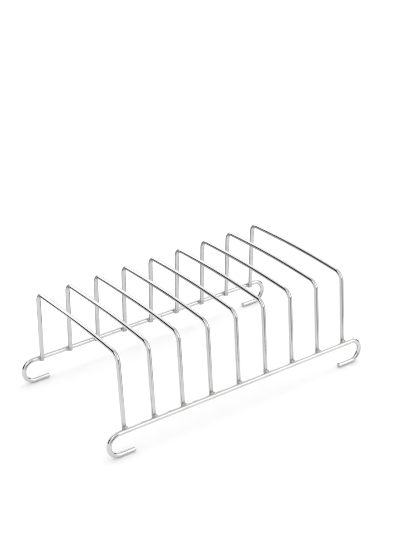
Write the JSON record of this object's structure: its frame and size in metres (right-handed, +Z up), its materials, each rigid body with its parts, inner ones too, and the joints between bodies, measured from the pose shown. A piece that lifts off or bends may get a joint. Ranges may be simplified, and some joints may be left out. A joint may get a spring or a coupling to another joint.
{
  "type": "toast rack",
  "caption": "Free-standing bright wire toast rack: inverted-U hoops welded across two base rails whose ends curl under as feet, holding slices on edge.",
  "frame": {"origin": "on the table plane, at the middle of the four feet, under the centre of the rack", "axes": "+Z up; Y runs along the two rails; X runs across the rack, along the hoops' top bars"},
  "size_m": [0.1134, 0.2054, 0.0714],
  "materials": {
    "rail_wire": "bright drawn and plated round wire, fine lengthwise draw lines",
    "hoop_wire": "bright drawn and plated round wire, fine lengthwise draw lines",
    "weld_metal": "plated-over resistance weld collars, duller and slightly uneven"
  },
  "bodies": {
    "root": {"left_rail": "rail_wire", "right_rail": "rail_wire", "hoop_1": "hoop_wire", "hoop_2": "hoop_wire", "hoop_3": "hoop_wire", "hoop_4": "hoop_wire", "hoop_5": "hoop_wire", "hoop_6": "hoop_wire", "hoop_7": "hoop_wire", "hoop_8": "hoop_wire", "hoop_9": "hoop_wire", "left_rail_welds": "weld_metal", "right_rail_welds": "weld_metal"}
  },
  "joints": []
}
